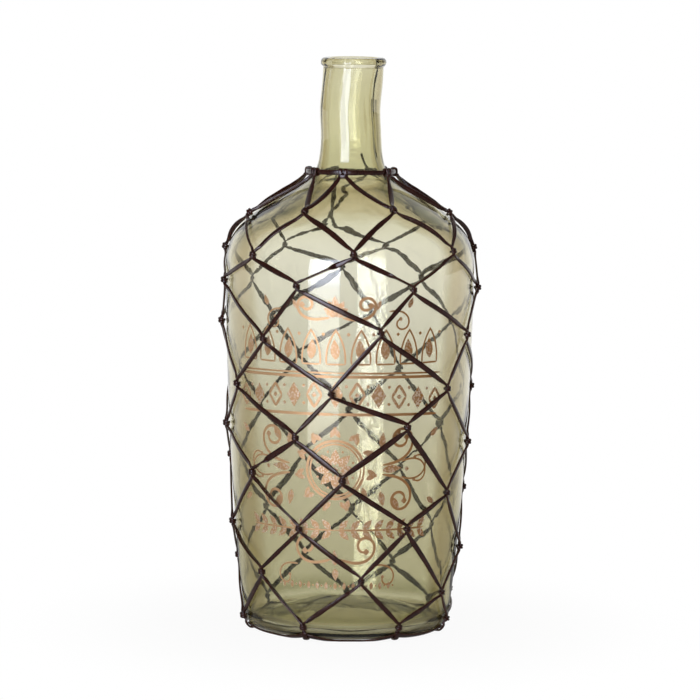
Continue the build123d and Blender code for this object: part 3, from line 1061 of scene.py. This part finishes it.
def strand(start, end, start_normal, end_normal, end_level, on_edge=None, slack=False):
    """Stations of a lace between two knots, without its two ends."""
    run = end - start
    reach = run.length
    steps = max(4, round(reach / strand_step))
    stations = []
    for step in range(1, steps):
        share = step / steps
        place = start + run * share
        from_start, from_end = reach * share, reach * (1 - share)
        seat, outside = seat_nearest(place)
        if slack:
            bow = 4 * share * (1 - share)
            place -= seat.up * (slack_bow * bow) + seat.out * (outside * slack_share * bow)
            seat, outside = seat_nearest(place)
        near = 1 - ease(min(from_start, from_end) / level_reach)
        flat = ease(min(from_start, from_end) / pinch_reach)
        spread = math.sin(math.pi / 2 * min(1, min(from_start, from_end) / taper_reach))
        width = pinched_width + (span_width - pinched_width) * spread
        depth = pinched_depth + (lace_thickness - pinched_depth) * flat
        resting = resting_level
        normal = seat.out
        if on_edge:
            window = ease((share - on_edge[0]) / roll_share)
            window *= ease((on_edge[1] - share) / roll_share)
            turn = on_edge_turn * window
            normal = Matrix.Rotation(turn, 3, run.normalized()) @ normal
            resting = lace_gap + (width * math.sin(turn) + depth * math.cos(turn)) / 2
        needed = resting + (end_level - resting) * near
        gap = outside - needed
        lifted = needed + (gap + math.sqrt(gap * gap + contact_blend ** 2)) / 2
        middle = seat.origin + seat.out * lifted
        if from_start < from_end:
            normal = roll_between(start_normal, normal, ease(from_start / pinch_reach))
        else:
            normal = roll_between(end_normal, normal, ease(from_end / pinch_reach))
        stations.append((middle, normal, width, depth))
    return stations


# %% [markdown]
# ## Knots
# At each crossing one lace is wound round the other, nearly two turns, and pulled tight. Seen
# from outside that makes two small stacked bands. A ball or a torus would fill the same space,
# but the wound lace is what catches the light, so the tying lace really runs down a short coil
# with its face outwards, and the other lace runs straight through the coil.

# %% Stations of a knot
coil_radius = 0.00182
coil_level = 0.00268
coil_top = 0.0014
coil_drop = 0.0028
coil_start = math.radians(180)
coil_turn = math.radians(-630)
coil_steps = 44
coil_width = 0.0018
coil_lead = 0.09
coil_core = 0.35
mouth_height = 0.0020
tying_level = 0.0021
passing_level = 0.0029


def tying_knot(seat):
    """The lace that ties: in from above, round in a coil, and out below."""
    above, below = (seat.at(0, way * mouth_height, tying_level) for way in (1, -1))
    stations = [(above, -seat.right, pinched_width, pinched_depth)]
    for step in range(coil_steps + 1):
        share = step / coil_steps
        turn = coil_start + coil_turn * share
        spread = ease(share / coil_lead) * ease((1 - share) / coil_lead)
        radius = coil_radius * (coil_core + (1 - coil_core) * spread)
        x, out = radius * math.cos(turn), coil_level + radius * math.sin(turn)
        radial = seat.right * math.cos(turn) + seat.out * math.sin(turn)
        height = coil_top - coil_drop * share
        width = pinched_width + (coil_width - pinched_width) * spread
        stations.append((seat.at(x, height, out), radial, width, lace_thickness))
    stations.append((below, -seat.out, pinched_width, pinched_depth))
    return stations


def passing_knot(seat, lean):
    """The lace that is tied in: straight through the coil, a little crushed."""
    normal = (seat.out + seat.right * lean).normalized()
    heights = (mouth_height, mouth_height / 2, 0, -mouth_height / 2, -mouth_height)
    return [(seat.at(0, y, passing_level), normal, pinched_width, pinched_depth)
            for y in heights]


# %% [markdown]
# ## The fold over the neck lace
# Each net lace is folded in half and hitched over the neck lace: both halves go over the ring
# and down behind it, and the bight comes round in front of them. A few points say where the
# middle of the lace goes, with the way its face looks, and a smooth curve joins them. One half
# is written down and mirrored. A formula would be shorter, but harder to move into place.

# %% Sizes at the neck
neck_lace_width = 0.0032
neck_lace_play = 0.0088
loop_play = 0.00015
knot_clearance = 0.00005
neck_lace_radius = neck_foot_radius + neck_lace_play
loop_hole_depth = lace_thickness + 2 * loop_play
loop_inner_radius = neck_lace_radius - loop_hole_depth / 2 - lace_thickness
loop_floor = side_at_radius(loop_inner_radius - lace_gap)[1]
neck_lace_middle = loop_floor + lace_thickness + knot_clearance + neck_lace_width / 2
print("neck lace", round(neck_lace_middle, 4), "m up,", round(neck_lace_radius, 4), "m radius")


def loop_turn(column):
    """The turn round the bottle where a net lace is hitched to the neck lace."""
    return (column + neck_turn_shares[column % column_count]) * column_spacing


ring_front_lift = 0.0022


class RingSeat(Seat):
    """A place on the neck lace: right along it, up, and away from the neck."""

    def __init__(self, turn):
        height = neck_lace_middle + ring_front_lift * (1 + math.cos(turn)) / 2
        super().__init__((neck_lace_radius, height, 1, 0), turn)


# %% A smooth run through given points


def smooth_run(points, count):
    """Catmull-Rom points through vectors, count to each stretch, ends included."""
    padded = [points[0]] + list(points) + [points[-1]]
    run = []
    for before, near, far, after in zip(padded, padded[1:], padded[2:], padded[3:]):
        for step in range(count):
            t = step / count
            run.append((near * 2 + (far - before) * t
                        + (before * 2 - near * 5 + far * 4 - after) * t ** 2
                        + (near * 3 - before - far * 3 + after) * t ** 3) / 2)
    return run + [points[-1]]


half_loop_points = (
    # middle of the lace (right, up, out) in millimetres, then the way its face looks
    ((1.45, -1.80, 1.55), (0, 0, 1)),
    ((1.60, 0.40, 1.55), (0, 0.1, 1)),
    ((1.65, 1.90, 1.15), (0, 0.7, 0.7)),
    ((1.65, 2.25, 0.00), (0, 1, 0)),
    ((1.65, 1.85, -1.20), (0, 0.7, -0.7)),
    ((1.65, 0.00, -1.45), (0, 0, -1)),
    ((1.70, -1.80, -1.15), (0, -0.7, -0.7)),
    ((1.90, -2.40, 0.30), (0.2, -1, 0)),
    ((2.00, -2.20, 1.60), (0.4, -0.6, 0.6)),
    ((1.60, -2.30, 2.40), (0.2, -0.1, 1)),
)
loop_steps = 5
loop_lace_width = 0.0024


def hitch(column):
    """The fold, from the top of the left leg to the top of the right one."""
    seat = RingSeat(loop_turn(column))
    places = [Vector(p) * millimetre for p, _ in half_loop_points]
    faces = [Vector(n) for _, n in half_loop_points]
    mirror = Matrix.Diagonal((-1, 1, 1))
    places = [mirror @ p for p in places] + places[::-1]
    faces = [mirror @ n for n in faces] + faces[::-1]
    stations = []
    for place, face in zip(smooth_run(places, loop_steps), smooth_run(faces, loop_steps)):
        normal = seat.right * face.x + seat.up * face.y + seat.out * face.z
        stations.append((seat.at(*place), normal.normalized(), loop_lace_width, lace_thickness))
    return stations


# %% [markdown]
# ## Net laces
# A net lace is one strip: up the left leg, through the hitch, down the right leg. The right leg
# ties a knot in every row, the left leg is tied in by its own lace or by its neighbour. Below
# the last row the right leg turns over the lace under the heel. Two legs and a loop could be
# pieces of their own, but one strip has no seam at the hitch, as the real lace has none.

# %% Legs and laces
base_lace_play = 0.0003
knot_height = 0.005
mouth_reach = 0.001
leg_end_length = 0.0022
leg_end_rise = 0.0002
leg_end_steps = 3
base_lace_drop = knot_height / 2 + mouth_reach + lace_width / 2 + 3 * base_lace_play
passing_lean = 1.2
# Strands that stay on edge, as (lace, way, row they end at): (from share, to share)
strands_on_edge = {
    (6, -1, 1): (0.0, 1.0),
    (5, 1, 1): (0.0, 1.0),
    (1, 1, 1): (0.0, 1.0),
    (2, -1, 1): (0.0, 1.0),
    (5, 1, 2): (0.0, 1.0),
    (2, -1, 2): (0.0, 1.0),
    (1, 1, 2): (0.0, 1.0),
    (1, -1, 2): (-0.1, 1.1),
    (6, -1, 2): (0.2, 1.0),
    (0, -1, 3): (0.3, 1.1),
    (1, -1, 3): (0.2, 1.1),
    (0, 1, 3): (0.55, 1.1),
    (6, -1, 7): (0.6, 1.1),
    (6, -1, 8): (-0.1, 1.1),
    (5, 1, 9): (-0.1, 1.1),
    (6, -1, 10): (-0.1, 1.1),
    (6, 1, 10): (-0.1, 0.3),
    (3, 1, 5): (-0.1, 0.6),
    (4, -1, 6): (0.3, 1.1),
    (3, -1, 9): (-0.1, 0.7),
    (2, 1, 7): (0.3, 0.9),
}


def leg_end(sample, turn):
    """The end of a right leg, over the lace under the heel and in against the glass."""
    over_lace = resting_level + lace_thickness + lace_gap
    edge = lace_width / 2 + base_lace_play
    places = []
    faces = []
    for drop, level in (
        (base_lace_drop - edge - mouth_reach, resting_level + lace_thickness / 2),
        (base_lace_drop - edge, over_lace),
        (base_lace_drop, over_lace + leg_end_rise),
        (base_lace_drop + edge, over_lace),
        (base_lace_drop + edge + leg_end_length / 2, resting_level + lace_thickness / 2),
        (base_lace_drop + edge + leg_end_length, resting_level),
    ):
        seat = Seat(side_below(sample, drop), turn)
        places.append(seat.origin + seat.out * level)
        faces.append(seat.out)
    return [(place, face.normalized(), lace_width, lace_thickness)
            for place, face in zip(smooth_run(places, leg_end_steps),
                                   smooth_run(faces, leg_end_steps))]


def leg(column, way, top):
    """Stations of one leg from the top station down. way is 1 for the right leg."""
    stations = [top]
    for row in range(1, row_count + 1):
        knot_column = column if row % 2 == 0 or way > 0 else column - 1
        sample, turn = knot_place(row, knot_column)
        seat = Seat(sample, turn)
        level = tying_level if way > 0 else passing_level
        knot = tying_knot(seat) if way > 0 else passing_knot(seat, passing_lean)
        stations += strand(
            stations[-1][0], knot[0][0], stations[-1][1], knot[0][1], level,
            strands_on_edge.get((column, way, row)), slack=row == 1,
        )
        stations += knot
    if way > 0:
        stations += leg_end(*knot_place(row_count, column))
    return stations


# %% [markdown]
# ## Brown leather
# The lace is dyed calf leather: nearly black-brown, smooth and a little waxed on its faces, with
# fine grain and paler raw edges where it was cut. One colour would look like plastic. So noise
# gives the dye and the creases, and small cells give the grain. The cut edges are known from
# the mesh, which marked them as it was skinned, so the paler colour follows every turn.

# %% Leather material
dark_dye = (0.021, 0.0054, 0.0036)
pale_dye = (0.048, 0.0130, 0.0086)
raw_edge_tone = (0.075, 0.032, 0.022, 1)
raw_edge_share = 0.6
leather, finish = new_material("brown_leather")
place = finish.place()
dye = finish.noise(place, 160, Detail=4, Roughness=0.6)
dyed = finish.ramp(dye, ((0.3, dark_dye), (0.75, pale_dye)))
raw = finish.ramp(finish.mark("cut_edge"), ((0.55, (0, 0, 0)), (1.0, [raw_edge_share] * 3)))
grain = finish.add("TexVoronoi", Vector=place, Scale=2600).outputs["Distance"]
creases = finish.noise(place, 700, Detail=3, Roughness=0.55)
creased = finish.bump(creases, 0.4, 0.00012)
finish.shade(
    Base_Color=finish.mix(raw, dyed, raw_edge_tone),
    Normal=finish.bump(grain, 0.35, 0.00009, Normal=creased),
    Roughness=finish.fade(dye, 0, 1, 0.13, 0.28),
    Specular_IOR_Level=0.5,
)
print("leather nodes:", len(finish.nodes))

# %% Lay the seven net laces
for column in range(column_count):
    fold = hitch(column)
    left_leg = leg(column, -1, fold[0])
    right_leg = leg(column, 1, fold[-1])
    net_mesh = bmesh.new()
    skin_lace(net_mesh, left_leg[:0:-1] + fold + right_leg[1:])
    name = f"net_lace_{column + 1}"
    new_piece(net_mesh, f"knotted_{name}", leather, [name])

# %% [markdown]
# ## The lace round the neck
# A short lace is tied in a ring round the foot of the neck, standing on its edge, and the
# seven hitches hang on it. A torus would be quick, but it has no flat face and no cut edge. So
# the ring is skinned as an endless strip, which sways a little and rides higher in front. Its
# knot sits behind the right side, with one long cut tail that stands up and a short one on the
# shoulder.

# %% Lay the neck lace
neck_tie_turn = math.radians(133)
neck_steps = 220
ring_sway = 0.00025
sway_pace = 3
tail_sway = 0.002
short_tail = 0.009
tail_steps = 4
short_tail_shares = (1, 0.8, 0.6, 0.4)
# The long tail as (turn on from the tie in degrees, up, out), in millimetres
long_tail_places = (
    (6, 2.4, 1.6), (12, 1.5, 1.8), (19, 2.5, 1.6), (25, 6.5, 0.4), (30, 12.0, -1.0),
)
tie_turns = 2.0
tie_steps = 48
tie_length = 0.0046
tie_height = 0.0024
tie_depth = 0.0018
tie_swell = 0.25


def neck_ring_stations():
    stations = []
    for step in range(neck_steps):
        turn = 2 * math.pi * step / neck_steps
        seat = RingSeat(turn)
        round_ring = Vector((math.cos(turn) * sway_pace, math.sin(turn) * sway_pace, 0))
        sway = ring_sway * noise.noise(round_ring)
        stations.append((seat.at(0, sway, sway / 2), seat.out, neck_lace_width, lace_thickness))
    return stations


def neck_tie_stations():
    """The knot of the ring: a coil round it, from the short tail to the long one."""
    seat = RingSeat(neck_tie_turn)
    slope = shoulder_slope
    down = seat.out * math.cos(slope) - seat.up * math.sin(slope)
    off_glass = seat.out * math.sin(slope) + seat.up * math.cos(slope)
    stations = []
    for share in short_tail_shares:
        place = seat.at(-tie_length / 2 - tail_sway * share, -tie_height, tie_depth)
        place += down * (short_tail * share - short_tail * short_tail_shares[-1])
        stations.append((place, off_glass, lace_width, lace_thickness))
    for step in range(tie_steps + 1):
        share = step / tie_steps
        turn = -math.pi / 2 + 2 * math.pi * tie_turns * share
        up, out = tie_height * math.sin(turn), tie_depth * math.cos(turn)
        face = seat.up * math.sin(turn) + seat.out * math.cos(turn)
        swell = 1 + tie_swell * math.sin(math.pi * share)
        stations.append((seat.at(tie_length * (share - 0.5), up * swell, out * swell), face,
                         loop_lace_width, lace_thickness))
    places = [
        seat.at(tie_length / 2, -tie_height * 0.6, tie_depth * 0.8),
        seat.at(tie_length / 2, 0, tie_depth * 1.2),
    ]
    faces = [seat.out, seat.out]
    for further, up, out in long_tail_places:
        beside = RingSeat(neck_tie_turn + math.radians(further))
        places.append(beside.at(0, up * millimetre, out * millimetre))
        faces.append(beside.out)
    for place, face in zip(smooth_run(places, tail_steps), smooth_run(faces, tail_steps)):
        stations.append((place, face.normalized(), lace_width, lace_thickness))
    return stations


neck_mesh = bmesh.new()
skin_lace(neck_mesh, neck_ring_stations(), endless=True)
skin_lace(neck_mesh, neck_tie_stations())
new_piece(neck_mesh, "tied_neck_lace", leather, ["neck_lace"])

# %% [markdown]
# ## The lace under the heel
# The last lace is drawn tight round the heel, from leg to leg, and the bottle stands on it. An
# even ring would be simpler, but the legs end at unlike heights. So the lace is led through
# their ends and laid on the glass between them. Where it touches the floor it is pressed flat,
# so its lowest points are held at the floor.

# %% Lay the base lace
base_lace_spans = 24
base_tie_span = 3
base_tie_share = 0.16
base_tie_height = 0.0019
base_tie_depth = 0.0010
base_tie_level = 0.0006
base_tie_thickness = lace_thickness * 0.8


def base_ring_stations():
    corners = []
    for column in range(column_count):
        sample, turn = knot_place(row_count, column)
        seat = Seat(side_below(sample, base_lace_drop), turn)
        corners.append(seat.origin + seat.out * resting_level)
    stations = []
    for start, end in zip(corners, corners[1:] + corners[:1]):
        for step in range(base_lace_spans):
            seat, _ = seat_nearest(start.lerp(end, step / base_lace_spans))
            stations.append((seat.origin + seat.out * resting_level, seat.out,
                             lace_width, lace_thickness))
    return stations


def base_tie_stations(ring):
    """The flat knot of the base lace: one coil round it."""
    index = int((base_tie_span + base_tie_share) * base_lace_spans)
    middle, out = ring[index][:2]
    ahead = (ring[index + 1][0] - middle).normalized()
    up = out.cross(ahead)
    stations = []
    for step in range(tie_steps + 1):
        share = step / tie_steps
        turn = math.pi / 2 + 2 * math.pi * tie_turns * share
        place = middle + ahead * (tie_length * (share - 0.5))
        level = base_tie_level + base_tie_depth * math.sin(turn)
        place += up * (base_tie_height * math.cos(turn)) + out * level
        face = up * math.cos(turn) + out * math.sin(turn)
        stations.append((place, face, loop_lace_width, base_tie_thickness))
    return stations


base_stations = base_ring_stations()
base_mesh = bmesh.new()
skin_lace(base_mesh, base_stations, endless=True)
skin_lace(base_mesh, base_tie_stations(base_stations))
for vertex in base_mesh.verts:
    vertex.co.z = max(vertex.co.z, 0)
new_piece(base_mesh, "tied_base_lace", leather, ["base_lace"])

# %% [markdown]
# ## Floor, world and lamps
# The picture has a plain white ground. The floor is matt white and carries the object's soft
# shadow, and what the camera sees of it is lifted to white. The world is white behind the
# bottle and dim in front of it, as in a studio, so glass has something pale to show and
# leather has something dark to reflect. A tall soft lamp stands in front on the left, and a
# weak one on the right, and neither shows in a reflection. What glass and leather mirror is a
# cloth panel where the tall lamp is, and a strip of the floor in front of it. Those two give
# no light to matt surfaces.

# %% Floor
floor_size = 6.0
floor_squares = 8
floor_colour = (0.88, 0.88, 0.87, 1)
paper, finish = new_material("white_floor")
finish.shade(Base_Color=floor_colour, Roughness=0.9, Specular_IOR_Level=0.1)
floor_mesh = bmesh.new()
bmesh.ops.create_grid(
    floor_mesh, x_segments=floor_squares, y_segments=floor_squares, size=floor_size
)
floor = new_object(floor_mesh, "floor", paper)
print("floor squares:", len(floor.data.polygons))

seen = finish.add("LightPath").outputs
place = finish.place()
distance = finish.add("VectorMath", {"operation": "LENGTH"}, Vector=place).outputs["Value"]
seen_any = finish.combine("MAXIMUM", seen["Is Camera Ray"], seen["Is Transmission Ray"])
seen_any = finish.combine("MAXIMUM", seen_any, seen["Is Glossy Ray"])
# Close to the bottle the lit floor shows through a little, with the shadow on it
near_bottle = finish.fade(distance, 0.08, 0.24, 0.93, 1.0, soft=True)
seen_most = finish.product(seen_any, near_bottle)

# %% What the glass mirrors of the floor
panel_turn = math.radians(-23)
panel_half_angle = math.radians(14.5)
panel_strength = 4.2
mirrored_floor = 0.25
strip_edge = math.tan(panel_half_angle)
turned = finish.add("VectorRotate", {"rotation_type": "Z_AXIS"}, Vector=place, Angle=-panel_turn)
from_middle = finish.add("SeparateXYZ", Vector=turned.outputs["Vector"]).outputs
aside = finish.combine("DIVIDE", from_middle["X"], from_middle["Y"])
aside = finish.combine("ABSOLUTE", aside, 0)
in_strip = finish.product(
    finish.fade(aside, strip_edge * 0.93, strip_edge * 1.05, 1, 0, soft=True),
    finish.fade(distance, 0.40, 0.80, soft=True),
    finish.fade(from_middle["Y"], -0.1, 0.0, 1, 0, soft=True),
    finish.combine("MINIMUM", seen["Glossy Depth"], 1),
)
only_mirrored = finish.combine(
    "GREATER_THAN", seen["Is Glossy Ray"], seen["Is Transmission Ray"]
)
in_front = finish.fade(finish.axis(place, "Y"), 0.15, 0.65, 1, 0, soft=True)
dimmed = finish.product(only_mirrored, in_front, mirrored_floor - 1)
level = finish.combine("ADD", finish.product(in_strip, panel_strength), dimmed)
glow = finish.add("Emission", Strength=finish.combine("ADD", level, 1))
blend_floor = finish.add("MixShader", Fac=seen_most)
finish.join(blend_floor.inputs[1], finish.shader.outputs["BSDF"])
finish.join(blend_floor.inputs[2], glow.outputs["Emission"])
finish.end(Surface=blend_floor.outputs["Shader"])
print("floor nodes:", len(finish.nodes))

# %% World
room_level = 0.6
world = bpy.data.worlds.new("studio")
bpy.context.scene.world = world
world.use_nodes = True
finish = Finish(world.node_tree)
direction = finish.add("TexCoord").outputs["Generated"]
towards = finish.add("SeparateXYZ", Vector=direction).outputs
kind = finish.add("LightPath").outputs
mirrored = finish.fade(towards["Y"], 0.45, 0.95, 0.05, 1.0, soft=True)
to_the_right = finish.fade(towards["X"], 0.35, 0.8, soft=True)
dark_front = finish.fade(towards["Y"], 0.15, 0.40, 1.0, 0.12, soft=True)
looked_through = finish.mix(to_the_right, 1.0, dark_front, "FLOAT")
level = finish.mix(kind["Is Glossy Ray"], room_level, mirrored, "FLOAT")
level = finish.mix(kind["Is Transmission Ray"], level, looked_through, "FLOAT")
level = finish.mix(kind["Is Camera Ray"], level, 1.0, "FLOAT")
finish.fill(finish.nodes["Background"], Color=(1, 1, 1, 1), Strength=level)
print("world nodes:", len(finish.nodes))

# %% The tall cloth that the glass mirrors
panel_distance = 1.6
panel_low, panel_high = 0.0, 0.85
panel_colour = (0.74, 0.80, 1.0, 1)
cloth_glow, finish = new_material("panel_cloth")
finish.nodes.remove(finish.shader)
kind = finish.add("LightPath").outputs
up_the_cloth = finish.axis(finish.place(), "Z")
# The lower part of the cloth is seen in the body, the part above it in the neck. What the far
# wall mirrors has come through the near wall twice, so it is lifted again.
near_wall = finish.fade(up_the_cloth, 0.07, 0.14, panel_strength + 1, 2.2 * panel_strength)
far_wall = finish.fade(up_the_cloth, 0.05, 0.30, 6.0 * panel_strength, 2.8 * panel_strength)
either_wall = finish.fade(kind["Transmission Depth"], 2.5, 3.5, near_wall, far_wall)
mirrored_once = finish.combine("MINIMUM", kind["Glossy Depth"], 1.0)
cloth_level = finish.mix(mirrored_once, 1.0, either_wall, "FLOAT")
cloth_light = finish.add("Emission", Color=panel_colour, Strength=cloth_level)
finish.end(Surface=cloth_light.outputs["Emission"])
cloth_glow.cycles.emission_sampling = "NONE"

panel_half_width = panel_distance * math.tan(panel_half_angle)
panel_right = Vector((math.cos(panel_turn), math.sin(panel_turn), 0)) * panel_half_width
panel_corners = [
    round_bottle(panel_turn, panel_distance, height) + panel_right * side_sign
    for height, side_sign in ((panel_low, -1), (panel_low, 1), (panel_high, 1), (panel_high, -1))
]
panel_mesh = bmesh.new()
panel_mesh.faces.new([panel_mesh.verts.new(corner) for corner in panel_corners])
panel = new_object(panel_mesh, "soft_panel", cloth_glow)
panel.visible_camera = False
panel.visible_diffuse = False
panel.visible_shadow = False
print("panel corners:", [[round(v, 2) for v in corner] for corner in panel_corners])

# %% Lamps


def soft_lamp(name, turn, distance, low, high, width, glow_level):
    """An upright soft lamp that stands at a turn round the bottle and faces it."""
    data = bpy.data.lights.new(name, "AREA")
    data.shape = "RECTANGLE"
    data.size = width
    data.size_y = high - low
    data.energy = glow_level * math.pi * width * (high - low)
    lamp = bpy.data.objects.new(name, data)
    bpy.context.collection.objects.link(lamp)
    place = round_bottle(math.radians(turn), distance, (low + high) / 2)
    back = Vector((place.x, place.y, 0)).normalized()
    lamp.location = place
    lamp.rotation_mode = "QUATERNION"
    lamp.rotation_quaternion = back.to_track_quat("Z", "Y")
    lamp.visible_camera = False
    lamp.visible_transmission = False
    lamp.visible_glossy = False
    print(name, "at", [round(v, 2) for v in place], round(data.energy, 1), "W")


soft_lamp("key_lamp", turn=-23, distance=1.6, low=-0.55, high=0.85, width=0.83, glow_level=3.0)
soft_lamp("side_lamp", turn=88, distance=1.6, low=-0.3, high=0.9, width=0.35, glow_level=0.8)
